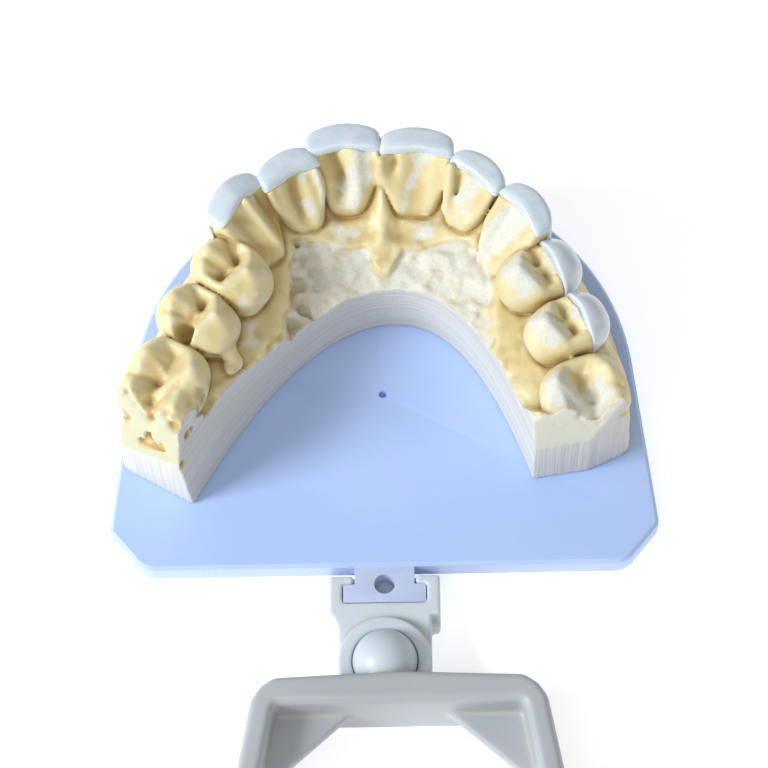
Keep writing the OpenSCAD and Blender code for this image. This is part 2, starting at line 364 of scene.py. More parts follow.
def molar_crests(drops):
    """Crests of a four-cusped tooth, with the drop of each cusp."""
    front_out, rear_out, front_in, rear_in = drops
    return (
        (0.82, 0.45, front_out + 0.8, 0.45, 0.66, front_out, 0.7),
        (0.45, 0.66, front_out, 0.05, 0.62, front_out + 0.9, 0.7),
        (0.05, 0.62, rear_out + 0.9, -0.42, 0.62, rear_out, 0.7),
        (0.45, 0.66, front_out, 0.25, 0.1, 1.7, 0.9),
        (-0.42, 0.62, rear_out, -0.25, 0.15, 1.8, 0.9),
        (0.85, 0.4, 1.0, 0.82, -0.3, 1.0, 0.9),
        (0.82, -0.3, 1.0, 0.4, -0.58, front_in, 0.7),
        (0.4, -0.58, front_in, -0.05, -0.5, front_in + 0.9, 0.8),
        (0.4, -0.58, front_in, -0.2, 0.05, 1.5, 0.9),
        (-0.1, -0.5, rear_in + 0.6, -0.5, -0.6, rear_in, 0.8),
        (-0.85, 0.4, 1.2, -0.82, -0.4, 1.3, 0.9),
    )


# The upper arch, each side from the front back: side, place across and forwards, turn, width, depth, and the
# heights of the tip and of the gum
UPPER_TEETH = [
    Tooth(
        "left_central", -1, 3.95, 44.2, 4, 8.6, 7.4, 24.5, 16.8,
        veneer=3.4, taper=0.66, edge=3.0,
        marks=(
            (-0.40, 0.78, -0.15, 0.46, 0.24, 2.2),
            (0.9, 0.35, 0.92, 0.95, 0.12, -0.5),
            (0.35, 0.5, 0.3, 0.8, 0.2, -0.6),
            (-0.92, 0.4, -0.9, 0.9, 0.1, -0.4),
        ),
        worn=(
            (0.1, 0.25, 0.35, 0.6, 0.3, 0.95),
            (0.45, 0.68, 0.55, 0.95, 0.32, 1.1),
        ),
    ),
    Tooth(
        "left_lateral", -1, 9.6, 41.2, 31, 7.2, 7.0, 24.2, 16.9,
        veneer=3.3, heel=0.1, taper=0.8, edge=2.8,
        marks=(
            (-0.1, 0.4, -0.05, 0.75, 0.26, 1.6),
            (0.75, 0.3, 0.85, 1.0, 0.14, -0.7),
            (-0.85, 0.3, -0.9, 0.9, 0.14, -0.4),
        ),
        worn=(
            (0.72, 0.45, 0.82, 1.0, 0.16, 1.0),
            (0.25, 0.75, 0.35, 0.95, 0.25, 0.5),
        ),
    ),
    Tooth(
        "left_canine", -1, 14.7, 37.4, 52, 8.2, 8.0, 24.5, 16.6,
        veneer=3.3, heel=-0.35, taper=0.65, edge=2.8, ridge=0.9,
        marks=(
            (0.1, 0.15, 0.1, 0.95, 0.13, -0.8),
            (-0.42, 0.3, -0.4, 0.75, 0.24, 1.1),
            (0.55, 0.3, 0.6, 0.75, 0.2, 1.0),
            (-0.1, 0.6, -0.5, 0.75, 0.08, 0.25),
        ),
        worn=(
            (0.1, 0.5, 0.15, 0.9, 0.1, 0.35),
        ),
    ),
    Tooth(
        "left_premolar_1", -1, 17.3, 31.2, 50, 7.8, 9.9, 22.9, 16.2,
        lean=0.03, power=2.8, floor=2.7,
        crests=premolar_crests(0.1, 0.4, skew=-0.05),
        marks=(
            (0.55, 0.55, 0.3, 0.1, 0.09, 0.5),
            (-0.35, 0.5, -0.2, 0.15, 0.1, 0.35),
            (0.3, 0.0, -0.5, 0.05, 0.11, 0.6),
        ),
        worn=(
            (0.1, -0.4, 0.0, -0.1, 0.16, 0.5),
            (0.3, -0.7, -0.2, -0.8, 0.3, 0.35),
        ),
    ),
    Tooth(
        "left_premolar_2", -1, 21.1, 25.3, 58, 7.5, 10.1, 22.4, 16.0,
        lean=0.03, power=2.7, floor=3.0,
        crests=premolar_crests(0.0, 0.3, distal=2.2),
        marks=(
            (0.6, 0.4, 0.3, 0.1, 0.1, 0.5),
            (0.5, 0.02, -0.4, 0.05, 0.11, 0.7),
            (-0.3, 0.25, -0.5, 0.6, 0.1, 0.4),
        ),
        worn=(
            (0.1, -0.4, -0.3, -0.3, 0.2, 0.4),
        ),
    ),
    Tooth(
        "left_molar", -1, 25.1, 16.6, 68, 13.0, 9.9, 21.3, 15.8,
        lean=0.02, power=2.9, floor=2.6,
        crests=molar_crests((0.0, 0.4, 0.1, 0.2)),
        marks=(
            (0.0, 0.1, -0.75, 0.0, 0.18, 0.6),
            (0.05, 0.05, 0.0, 0.8, 0.07, 0.4),
            (-0.3, 0.1, -0.7, 0.55, 0.08, 0.6),
        ),
    ),
    Tooth(
        "right_central", 1, 4.5, 43.6, 5, 8.45, 7.3, 24.4, 16.8,
        veneer=3.1, taper=0.6, edge=2.7, heel=0.1,
        marks=(
            (0.62, 0.7, 0.64, 0.95, 0.12, 0.6),
            (-0.05, 0.45, -0.1, 0.8, 0.42, 1.2),
            (0.88, 0.3, 0.9, 0.98, 0.12, -0.35),
            (-0.9, 0.4, -0.95, 0.95, 0.14, -0.35),
        ),
        worn=(
            (0.25, 0.3, 0.1, 0.5, 0.16, 0.8),
            (-0.05, 0.72, -0.25, 0.95, 0.24, 1.0),
        ),
    ),
    Tooth(
        "right_lateral", 1, 10.6, 41.0, 43, 7.0, 6.0, 24.0, 16.9,
        veneer=2.9, heel=-0.2, taper=0.7, edge=2.4,
        marks=(
            (0.45, 0.1, 0.45, 0.85, 0.12, 0.4),
            (-0.25, 0.5, -0.3, 0.9, 0.35, 0.5),
            (-0.8, 0.3, -0.85, 0.9, 0.14, -0.3),
        ),
        worn=(
            (0.0, 0.55, -0.2, 0.95, 0.38, 0.95),
            (-0.5, 0.3, -0.4, 0.5, 0.2, 0.5),
        ),
    ),
    Tooth(
        "right_canine", 1, 15.2, 35.7, 56, 7.5, 7.6, 24.2, 16.4,
        veneer=3.0, heel=-0.2, taper=0.5, edge=2.6, ridge=0.5,
        marks=(
            (0.1, 0.5, -0.2, 0.6, 0.4, 1.0),
            (0.25, 0.3, 0.35, 0.7, 0.10, 0.5),
            (0.75, 0.3, 0.8, 0.9, 0.16, -0.5),
            (-0.3, 0.3, 0.1, 0.25, 0.1, 0.4),
        ),
        worn=(
            (0.2, 0.45, -0.1, 0.85, 0.42, 1.6),
        ),
    ),
    Tooth(
        "right_premolar_1", 1, 18.6, 30.3, 64, 7.4, 9.9, 22.6, 16.2,
        veneer=3.3, veneer_edge=3.3, lean=0.03, power=2.5,
        floor=3.1, crests=premolar_crests(0.1, 0.1, 1.3, 1.6, skew=0.1),
        marks=(
            (0.6, 0.05, -0.4, 0.1, 0.07, 0.35),
            (-0.2, 0.12, -0.6, 0.5, 0.07, 0.4),
            (0.5, -0.2, 0.2, 0.0, 0.09, 0.4),
        ),
        worn=(
            (0.3, -0.55, -0.4, -0.4, 0.36, 1.2),
            (0.3, 0.35, -0.2, 0.4, 0.2, 0.9),
        ),
    ),
    Tooth(
        "right_premolar_2", 1, 21.5, 23.4, 67, 7.4, 9.9, 22.0, 16.0,
        veneer=3.1, veneer_edge=3.1, lean=0.03, power=2.5,
        floor=3.1, crests=premolar_crests(0.1, 0.1, 1.4, 1.2, skew=0.15),
        marks=(
            (0.65, 0.04, -0.4, 0.1, 0.07, 0.4),
            (-0.2, 0.1, -0.6, 0.4, 0.07, 0.4),
            (0.4, -0.3, 0.1, -0.1, 0.08, 0.4),
        ),
        worn=(
            (0.3, -0.5, -0.35, -0.4, 0.34, 1.2),
            (0.3, 0.4, 0.0, 0.4, 0.24, 1.1),
        ),
    ),
    Tooth(
        "right_molar", 1, 23.6, 14.3, 74, 11.0, 10.5, 21.0, 15.8,
        lean=0.02, power=2.8, floor=2.7,
        crests=molar_crests((0.0, 0.6, 0.1, 0.9)),
        marks=(
            (0.1, 0.05, -0.95, 0.15, 0.34, 1.7),
            (0.0, 0.05, 0.05, 0.8, 0.08, 0.5),
            (-0.3, 0.2, -0.8, 0.5, 0.12, 0.5),
            (-0.6, 0.1, -1.1, 0.15, 0.24, 1.9),
        ),
        worn=(
            (0.2, -0.5, -0.5, -0.4, 0.45, 1.2),
            (-0.1, 0.0, -0.7, 0.3, 0.4, 1.2),
            (0.2, 0.4, -0.3, 0.5, 0.2, 0.8),
        ),
    ),
]


def veneer_back(tooth, u, v, w):
    """Positive on the lip side of the prepared surface that a veneer is bonded to."""
    rise = np.clip(w / tooth.height, 0, 1)
    leaned = v - tooth.lean * np.clip(w, 0, None)
    q = u / (tooth.width / 2)
    front = tooth.depth / 2 - 0.9 * q**2 - 0.3 * q**4 if tooth.crests else tooth.face(u, w)
    thick = tooth.veneer_edge + (tooth.veneer - tooth.veneer_edge) * ramp(rise, 0.72, 0.88)
    bow = (1.1 if tooth.crests else 0.45 * ramp(rise, 0.5, 0.9)) * np.clip(np.abs(q), 0, 1.1) ** 2
    return leaned - (front - thick + bow + 0.10 * np.sin(5.0 * q + tooth.width))


# ---- the casts ----

CAST_STEP, VENEER_STEP = 0.25, 0.15  # between sample points
ARCH_Y = 21.8  # where the outside of both casts turns from straight to round


def inner_wall(x, y, z):
    """Distance to the ground inside of the horseshoe, negative in the plaster.

    Each side's edge falls back from the front by a power of the way across. The left rear leans out.
    """
    front = 32.2
    right, left = np.abs(x - 1.0) / 16.8, np.abs(x - 1.0) / 22.4
    on_right = x > 1.0
    edge = front - np.where(on_right, 21.3 * right**2.42, 21.8 * left**1.85)
    slope = np.where(on_right, 3.07 * right**1.42, 1.8 * left**0.85)
    lean = 0.11 * (1 - ramp(y, 17, 25)) * (x < 0)
    return (edge - y) / np.sqrt(1 + slope**2) + lean * np.clip(z - PLATE_TOP, 0, None)


def outer_wall(x, y, z):
    """Distance to the outside of the base, which leans in under the lip side of the front teeth."""
    lean = 0.06 + 0.26 * ramp(y, 19, 27)
    spread = 0.20 * np.clip(ARCH_Y - y, 0, None) * (x < 0)
    radius = 29.5 + spread - lean * np.clip(z - PLATE_TOP, 0, None)
    return np.sqrt(x**2 + np.clip(y - ARCH_Y, 0, None) ** 2) - radius


def cut_back(x, y, z, cuts):
    """Distance past the flat cuts, positive where one grinds. Each works only at its own end of the arch."""
    furthest = np.full((1, 1, 1), -FAR)
    for point, normal in cuts:
        n = np.array(normal, float)
        n /= np.linalg.norm(n)
        past = (x - point[0]) * n[0] + (y - point[1]) * n[1] + (z - point[2]) * n[2]
        furthest = np.maximum(furthest, np.where((x * point[0] > 0) & (y < 24), past, -FAR))
    return furthest


def gum_height(teeth, x, y, fall_in, fall_out):
    """Height of the gum: each tooth's neck, sloping away to both sides, blended along the arch."""
    total, weight = 0.0, 1e-6
    for t in teeth:
        u, v, _ = t.local(x, y, 0)
        near = np.exp(-(u**2 / 14.0 + (v * 0.25) ** 2 / 14.0))
        inside = np.clip(-v - t.depth * 0.42, 0, None)
        outside = np.clip(v - t.depth * 0.40, 0, None)
        between = np.clip(np.abs(u) / (t.width / 2), 0, 1) ** 2
        papilla = (1.2 if t.crests else 3.0) * between * bell(v, 0.1 * t.depth, 0.38 * t.depth)
        height = t.gum + papilla - fall_in * inside - fall_out * outside
        total = total + near * height
        weight = weight + near
    return total / weight


# Flat cuts at the rear ends, as a point on each and the way it faces: the ends upright, the facets slanted
UPPER_ENDS = (
    ((-22.7, 8.3, 4.5), (-0.506, -0.863, 0)),
    ((-27.0, 9.9, 4.5), (-0.66, -0.75, 0)),
    ((20.0, 11.2, 4.5), (0.15, -0.989, 0)),
    ((25.3, 12.3, 4.5), (0.42, -0.908, 0)),
    ((29.0, 14.2, 4.5), (0.68, -0.733, 0)),
)
UPPER_FACETS = (
    ((-25.0, 11.9, 19.0), (-0.560, -0.773, 0.296)),
    ((20.5, 10.9, 10.5), (0.14, -0.975, 0.17)),
)


def broken_patch(x, y, noise):
    """From 0 to 1 where the palate's plaster has broken away, on both sides of a strip at the middle."""
    left = 38.0 - 0.10 * (x + 10) - 2.6 * ramp(x, -2.0, 0.0) + 0.5 * noise
    right = 37.0 - 2.8 * (1 - ramp(x, 0.9, 3.0)) - 2.6 * ramp(x, 10.3, 13) + 0.5 * noise
    edge = np.where(x < 0.5, left, right)
    inside = ramp(edge - y, -0.15, 0.35)
    sides = ramp(x + 0.5 * noise, -11.2, -10.4) * (1 - ramp(x + 0.7 * noise, 12.2, 13.6))
    strip = bell(x + 0.4 * noise, 0.4, 0.8) * ramp(y, 33.0, 35.5)
    return inside * sides * (1 - 0.9 * strip)


# Scraped places on the gum behind the teeth: centre across and forwards, and reach each way
PALATE_SCRAPES = (
    (-4.4, 38.6, 1.8, 1.3),
    (5.0, 38.4, 2.0, 1.2),
    (-15.6, 25.2, 0.8, 2.2),
    (-8.8, 40.0, 0.9, 0.9),
)

# Small casting flaws that stand proud or dip in: two ends, the radius at each, and +1 proud or -1 sunk
UPPER_FLAWS = (
    ((8.7, 43.2, 23.2), (8.2, 40.4, 18.6), 0.65, 0.65, 1),
    ((8.2, 40.4, 18.6), (8.9, 39.6, 17.3), 0.65, 0.85, 1),
    ((9.6, 42.6, 22.3), (9.3, 40.6, 19.0), 0.3, 0.2, -1),
    ((21.8, 20.4, 18.4), (22.1, 20.1, 18.6), 0.75, 0.6, 1),
    ((-17.9, 22.2, 17.0), (-17.1, 21.2, 16.0), 1.2, 1.0, 1),
    ((-17.1, 21.2, 16.0), (-17.7, 20.6, 15.9), 0.9, 1.0, 1),
    ((0.35, 44.2, 23.2), (0.3, 42.4, 17.8), 0.5, 0.6, 1),
    ((-19.6, 21.2, 17.4), (-18.9, 19.6, 16.2), 0.7, 0.7, -1),
    ((-22.9, 22.9, 21.5), (-22.3, 23.6, 17.6), 1.3, 1.1, -1),
)

# Air bubbles that the rear cut of the left molar opened
UPPER_VOIDS = (
    ((-27.7, 12.2, 13.8), (-25.0, 11.0, 14.5), 0.65, 0.55, -1),
    ((-26.2, 12.1, 14.4), (-26.0, 12.9, 14.8), 0.8, 0.9, -1),
    ((-24.8, 10.4, 13.0), (-22.8, 9.2, 13.4), 0.5, 0.4, -1),
    ((-22.6, 11.6, 16.6), (-21.6, 11.2, 16.4), 0.5, 0.35, -1),
)


def capsule(x, y, z, start, end, r0, r1):
    """Distance to a round-ended stroke that goes from one radius to another."""
    a, b = np.array(start), np.array(end)
    along = b - a
    t = ((x - a[0]) * along[0] + (y - a[1]) * along[1] + (z - a[2]) * along[2]) / (along @ along)
    t = np.clip(t, 0, 1)
    far = (x - a[0] - t * along[0]) ** 2 + (y - a[1] - t * along[1]) ** 2 + (z - a[2] - t * along[2]) ** 2
    return np.sqrt(far) - (r0 + (r1 - r0) * t)


def add_flaws(block, distance, flaws):
    """Add the proud strokes to a solid and take the sunk ones away."""
    for start, end, r0, r1, sense in flaws:
        margin = max(r0, r1) + 1.5
        window = block.window(np.minimum(start, end) - margin, np.maximum(start, end) + margin)
        stroke = capsule(*block.coordinates(window), start, end, r0, r1)
        if sense > 0:
            distance[window] = smooth_min(distance[window], stroke, 0.5)
        else:
            distance[window] = smooth_max(distance[window], -stroke, 0.4)
    return distance


def stand_teeth(block, teeth, worn):
    """Distance to the row of teeth, and the creases where two of them meet, which the stone's material paints
    with shade. Adds their wear to worn.
    """
    crease_shade = np.zeros(block.shape, np.float32)
    row = np.full(block.shape, FAR, np.float32)
    for t in teeth:
        window = block.window(*t.reach())
        x, y, z = block.coordinates(window)
        own = t.distance(x, y, z)
        worn[window] = np.maximum(worn[window], t.wear(x, y, z) * (own < 1.0))
        if t.veneer:
            u, v, w = t.local(x, y, z)
            own = np.where(w < 0.2, own, smooth_max(own, veneer_back(t, u, v, w), 0.2))
        others = row[window]
        crease_shade[window] += np.exp(-(own**2 + others**2) / 0.06)
        row[window] = np.minimum(others, own)
    return row, crease_shade


def stone_block(block, as_cast, ground, ends, facets, worn, crease_shade, fine, gritty):
    """Cut the cast to its ground faces, and give the masks that the stone's material reads."""
    edge = bell(ground - as_cast, 0.0, 0.7) * ramp(block.z, 13, 16)
    ragged = edge * np.clip(fine + 0.5 * gritty, 0, 1) * 0.8
    d = smooth_max(as_cast, ground + 0.012 * fine, 0.22) + ragged
    block.distance = smooth_max(d, PLATE_TOP - block.z, 0.2).astype(np.float32)
    return {
        "ends": ends,
        "facets": facets,
        "ground": ramp(ground - as_cast - 0.9 * edge * np.clip(fine + 0.3, 0, 1), -0.2, 0.2),
        "worn": np.clip(worn, 0, 1),
        # painted shade in the creases where teeth meet each other and the gum, with darker ochre along the
        # ragged rim of the ground faces
        "crease_shade": np.clip(crease_shade, 0, 1) + edge * 0.7,
        "hollow": block.blurred(block.distance, 4) - block.distance,
    }


def upper_gum(x, y, coarse, medium, fine, gritty):
    """Height of the upper gum, filled in behind the molars and broken at the palate, and how broken it is."""
    gum = gum_height(UPPER_TEETH, x, y, 0.24, 0.9)
    behind = 1 - ramp(y + 0.10 * np.abs(x), 13.6, 17.4)
    filled = 19.2 - 2.4 * ramp(x, 19.0, 21.6)
    gum = gum + (filled - gum) * behind
    ridge = bell(x, 0.4, 1.25) * ramp(y, 34.5, 38.5) * (1 - ramp(y, 43.0, 44.6))
    knob = bell(x, 0.2, 1.2) * bell(y, 41.9, 1.3)
    rugae = np.sin(1.9 * y + 0.45 * np.abs(x - 0.4) + 0.5) * ramp(y, 34, 36) * (1 - ramp(np.abs(x), 8, 11))
    gum = gum + 1.2 * ridge + 0.9 * knob + 0.24 * rugae
    broken = broken_patch(x, y, coarse[:, :, :1] + medium[:, :, :1])
    pits = np.clip(fine + 0.6 * gritty, 0, None) * bell(x, -9.5, 2.2)
    flakes = np.abs(medium[:, :, :1]) + 0.6 * np.abs(coarse[:, :, :1])
    rubble = 0.4 * flakes + 0.16 * medium + 0.14 * fine + 0.06 * gritty + 1.0 * pits
    gum = gum - broken * (0.45 + 0.10 * np.clip(38 - y, 0, 6) + rubble)
    return gum, broken


def upper_cast():
    """The upper arch in stone: gum, broken palate, teeth, and the ground walls and ends."""
    block = Block((-34, 4.5, PLATE_TOP - 1), (34, 53, UPPER_TOP + 1), CAST_STEP)
    x, y, z = block.x, block.y, block.z
    coarse, medium = block.noise(3.2, 3), block.noise(1.3, 5)
    fine, gritty = block.noise(0.8, 6), block.noise(0.55, 9)
    gum, broken = upper_gum(x, y, coarse, medium, fine, gritty)
    d = (z - gum) * 0.9 + 0.16 * coarse * (1 - 0.5 * broken) + 0.12 * fine + 0.08 * gritty
    d = smooth_max(d, outer_wall(x, y, z), 1.2)
    worn = 0.9 * broken * np.ones_like(z)
    for px, py, reach_x, reach_y in PALATE_SCRAPES:
        worn = np.maximum(worn, 0.95 * bell(x + 0.8 * medium, px, reach_x) * bell(y, py, reach_y))
    teeth, crease_shade = stand_teeth(block, UPPER_TEETH, worn)
    teeth = add_flaws(block, teeth, UPPER_FLAWS)
    teeth = teeth + 0.10 * coarse + 0.05 * medium
    crease_shade += np.exp(-(teeth**2 + d**2) / 0.05)
    d = smooth_min(d, teeth, 0.3) + 0.20 * np.clip(crease_shade, 0, 1)
    # darker brown, spotted, along the left edge of the broken palate, carried in the crease shade mask
    crease_shade += 1.6 * broken * bell(x, -10.4, 2.4) * np.clip(0.6 + fine + gritty, 0, 1)
    as_cast = add_flaws(block, d + 0.035 * medium + 0.02 * fine, UPPER_VOIDS)
    wall = inner_wall(x, y, z)
    ends, facets = cut_back(x, y, z, UPPER_ENDS), cut_back(x, y, z, UPPER_FACETS)
    ground = smooth_max(smooth_max(wall, ends, 0.15), facets, 0.15)
    on_ends = ramp(ends - np.maximum(wall, facets), -0.1, 0.1)
    on_facets = ramp(facets - np.maximum(wall, ends), -0.1, 0.1)
    masks = stone_block(block, as_cast, ground, on_ends, on_facets, worn, crease_shade, fine, gritty)
    return skin("upper_cast_stone", block, masks)


# One side of the lower arch: name, place across and forwards, turn, width, depth, and drop below the tallest
LOWER_ROW = (
    ("central", 2.7, 41.6, 5, 5.4, 5.8, 0.1),
    ("lateral", 7.8, 40.2, 18, 5.8, 6.0, 0.2),
    ("canine", 12.7, 36.6, 42, 6.9, 7.0, 0.0),
    ("premolar_1", 16.2, 30.8, 62, 7.2, 7.6, 1.5),
    ("premolar_2", 18.8, 24.2, 70, 7.3, 8.2, 2.0),
    ("molar", 21.6, 15.6, 75, 10.6, 9.8, 2.6),
)
LOWER_GUM = 15.0


def lower_tooth(side, name, x, y, turn, width, depth, drop):
    """A plain tooth of the lower arch, of the kind that its name says."""
    spot = (name, side, x, y, turn, width, depth, LOWER_TOP - drop, LOWER_GUM)
    if name == "molar":
        return Tooth(*spot, lean=-0.04, power=2.8, floor=2.4, crests=molar_crests((0.2, 0.1, 0.3, 0.4)))
    if name.startswith("premolar"):
        return Tooth(*spot, lean=-0.04, power=2.4, floor=2.6, crests=premolar_crests(0.0, 1.0))
    marks = ((0.0, 0.4, 0.0, 0.9, 0.45, 0.5),)
    return Tooth(*spot, edge=1.9, taper=0.5, ridge=0.8 if name == "canine" else 0.0, marks=marks)


def lower_cast():
    """The opposing cast, a plain arch with every tooth in stone. It isn't in the photograph."""
    arch = [lower_tooth(side, *row) for side in (-1, 1) for row in LOWER_ROW]
    block = Block((-32, 6, PLATE_TOP - 1), (32, 53, LOWER_TOP + 1), CAST_STEP)
    x, y, z = block.x, block.y, block.z
    coarse, medium = block.noise(3.2, 23), block.noise(1.3, 25)
    fine, gritty = block.noise(0.8, 26), block.noise(0.55, 29)
    gum = gum_height(arch, x, y, 0.5, 0.9)
    d = (z - gum) * 0.9 + 0.16 * coarse + 0.10 * fine + 0.05 * gritty
    lean = 0.12 * np.clip(z - PLATE_TOP, 0, None)
    outside = np.sqrt(x**2 + np.clip(y - ARCH_Y, 0, None) ** 2) - 28.9 + lean
    d = smooth_max(d, outside, 1.2)
    worn = np.zeros(block.shape, np.float32)
    teeth, crease_shade = stand_teeth(block, arch, worn)
    teeth = teeth + 0.10 * coarse + 0.05 * medium
    crease_shade += np.exp(-(teeth**2 + d**2) / 0.05)
    as_cast = smooth_min(d, teeth, 0.3) + 0.20 * np.clip(crease_shade, 0, 1) + 0.035 * medium
    wall = (31 - (x / 3.9) ** 2 - y) / np.sqrt(1 + (2 * x / 3.9**2) ** 2) + 0 * z
    ends = 9.6 - y + 0 * z
    ground = smooth_max(wall, ends, 0.15)
    on_ends = ramp(ends - wall, -0.1, 0.1)
    masks = stone_block(block, as_cast, ground, on_ends, 0 * on_ends, worn, crease_shade, fine, gritty)
    return skin("lower_cast_stone", block, masks, turned=True)


def veneers():
    """Each veneer is the lip side of its tooth's plain crown, a little swollen, on the prepared face."""
    made = []
    for t in UPPER_TEETH:
        if not t.veneer:
            continue
        low, high = t.reach(0.5)
        block = Block(np.array(low) + (0, 0, 4.5), high, VENEER_STEP)
        x, y, z = block.x, block.y, block.z
        u, v, w = t.local(x, y, z)
        full = t.distance(x, y, z, plain=True) - 0.22
        body = smooth_max(full, -veneer_back(t, u, v, w) - 0.05, 0.35)
        body = smooth_max(body, 0.6 - w, 0.4)
        block.distance = (body + 0.03 * block.noise(1.5, 11)).astype(np.float32)
        hollow = block.blurred(block.distance, 3) - block.distance
        made.append((t, skin("veneer_" + t.name + "_shell", block, {"hollow": hollow})))
    return made


# ---- moulded pieces, softened from their CAD nodes ----


def cad_triangles(node):
    """A CAD node's points in millimetres, and its triangles."""
    mesh = NODES[node].data
    mesh.calc_loop_triangles()
    points = np.empty(len(mesh.vertices) * 3, np.float32)
    mesh.vertices.foreach_get("co", points)
    triangles = np.empty(len(mesh.loop_triangles) * 3, np.int32)
    mesh.loop_triangles.foreach_get("vertices", triangles)
    return points.reshape(-1, 3) / MM, triangles.reshape(-1, 3)


def moulded(node, body, finish, step):
    """A piece that stands for a CAD node, softened at its edges by two blurs of one step each."""
    points, triangles = cad_triangles(node)
    margin = 1.2
    block = Block(points.min(0) - margin, points.max(0) + margin, step)
    unit = vdb.createLinearTransform(1.0)
    grid = vdb.FloatGrid.createLevelSetFromPolygons(
        (points - block.low) / step, triangles=triangles, transform=unit, halfWidth=6.0
    )
    values = np.empty(block.shape, np.float32)
    grid.copyToArray(values)
    block.distance = block.blurred(block.blurred(values * step, 1), 1)
    hollow = block.blurred(block.distance, 3) - block.distance
    piece = skin(node + "_moulded", block, {"hollow": hollow}, placed=True)
    stand_for(piece, node, body, finish)


def bevelled(node, body, finish, width):
    """A piece that stands for a flat CAD node, with its sharp edges rounded over."""
    piece = add_to_scene(node + "_moulded", NODES[node].data.copy())
    shape = bmesh.new()
    shape.from_mesh(piece.data)
    bmesh.ops.remove_doubles(shape, verts=shape.verts, dist=0.002 * MM)
    # the face round the tab stays in triangles, because the tab makes a hole in it
    flat = [e for e in shape.edges if not any(abs(f.normal.y) > 0.999 for f in e.link_faces)]
    bmesh.ops.dissolve_limit(shape, angle_limit=math.radians(2), verts=[], edges=flat)
    shape.to_mesh(piece.data)
    shape.free()
    piece.data.materials.clear()
    bevel = piece.modifiers.new("edges", "BEVEL")
    bevel.width = width * MM
    bevel.segments = 4
    bevel.limit_method = "ANGLE"
    bevel.angle_limit = math.radians(40)
    bevel.harden_normals = True
    piece.data.shade_smooth()
    stand_for(piece, node, body, finish)


def stand_for(piece, node, body, finish):
    """Let a piece ride on a body in place of its CAD node, in its material."""
    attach(piece, body)
    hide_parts(node)
    piece.data.materials.append(finish)


# ---- materials ----


class Nodes:
    """A node tree that is built up by short calls. Sockets go in as links, and numbers as values."""

    def __init__(self, name):
        self.material = bpy.data.materials.new(name)
        self.material.use_nodes = True
        self.tree = self.material.node_tree
        self.shader = self.tree.nodes["Principled BSDF"]

    def add(self, kind, inputs=(), output=0, **settings):
        """A new node with its inputs and settings. Gives one of its outputs."""
        node = self.tree.nodes.new(kind)
        for key, value in settings.items():
            setattr(node, key, value)
        for key, value in dict(inputs).items():
            self.put(node.inputs[key], value)
        return node.outputs[output]

    def put(self, socket, value):
        if isinstance(value, bpy.types.NodeSocket):
            self.tree.links.new(value, socket)
        else:
            socket.default_value = value

    def set(self, **inputs):
        """Inputs of the material's shader, with underscores for the spaces in their names."""
        for key, value in inputs.items():
            self.put(self.shader.inputs[key.replace("_", " ")], value)

    def place(self, scale=(1, 1, 1)):
        """The place of each point of the piece, in millimetres times scale."""
        coordinates = self.add("ShaderNodeTexCoord", output="Object")
        stretched = self.add("ShaderNodeMapping", {"Vector": coordinates, "Scale": [k / MM for k in scale]})
        return stretched

    def noise(self, size, scale=(1, 1, 1), detail=3.0, seed=0.0):
        """Cloudy values about 0.5, with blobs about size millimetres across."""
        stretched = self.place([k / size for k in scale])
        shifted = self.add("ShaderNodeVectorMath", {0: stretched, 1: (seed, seed, seed)}, operation="ADD")
        return self.add("ShaderNodeTexNoise", {"Vector": shifted, "Scale": 1.0, "Detail": detail})

    def math(self, operation, a, b=0.0, clamp=False):
        return self.add("ShaderNodeMath", {0: a, 1: b}, operation=operation, use_clamp=clamp)

    def step(self, value, low, high):
        """From 0 to 1 as value goes from low to high."""
        return self.add(
            "ShaderNodeMapRange",
            {"Value": value, "From Min": low, "From Max": high},
            interpolation_type="SMOOTHSTEP",
        )

    def coordinate(self, axis):
        """Where each point lies along the row frame's x (0) or y (1), in metres."""
        place = self.add("ShaderNodeTexCoord", output="Object")
        return self.add("ShaderNodeSeparateXYZ", {"Vector": place}, output=axis)

    def mask(self, name):
        """One of the values that a piece keeps at its points."""
        return self.add("ShaderNodeAttribute", output="Fac", attribute_name=name)

    def mix(self, amount, first, second):
        """A colour between two colours."""
        node = self.tree.nodes.new("ShaderNodeMix")
        node.data_type = "RGBA"
        for index, value in ((0, amount), (6, first), (7, second)):
            value = (*value, 1) if isinstance(value, tuple) else value
            self.put(node.inputs[index], value)
        return node.outputs[2]

    def bump(self, *layers):
        """Each layer is a height and how far it stands out, in millimetres."""
        normal = None
        for height, depth in layers:
            inputs = {"Height": height, "Strength": 1.0, "Distance": depth * MM}
            if normal is not None:
                inputs["Normal"] = normal
            normal = self.add("ShaderNodeBump", inputs)
        self.set(Normal=normal)


def sealed_stone(m, blot, crease_shade):
    """The stone's yellow skin: paler where it stands proud, and painted brown shade in its creases and
    hollows.
    """
    hollow = m.mask("hollow")
    yellow = m.mix(m.step(m.noise(5.0), 0.35, 0.65), (0.66, 0.53, 0.25), (0.73, 0.62, 0.34))
    yellow = m.mix(m.step(blot, 0.56, 0.74), yellow, (0.78, 0.71, 0.49))
    # painted shade: brown where teeth meet and in concave hollows
    crevice_shade = m.math("ADD", m.math("MULTIPLY", crease_shade, 0.7), m.math("MULTIPLY", hollow, -1.8), clamp=True)
    proud = m.step(m.math("ADD", hollow, m.math("MULTIPLY", blot, 0.06)), 0.05, 0.16)
    yellow = m.mix(m.math("MULTIPLY", proud, 0.35), yellow, (0.80, 0.73, 0.50))
    return m.mix(crevice_shade, yellow, (0.42, 0.28, 0.10))


def scraped_stone(m, grain, crease_shade):
    """Chalky white stone, with painted brown shade in its creases."""
    chalk = m.mix(m.step(grain, 0.35, 0.65), (0.67, 0.66, 0.57), (0.73, 0.72, 0.64))
    return m.mix(m.math("MULTIPLY", crease_shade, 0.75), chalk, (0.44, 0.37, 0.24))


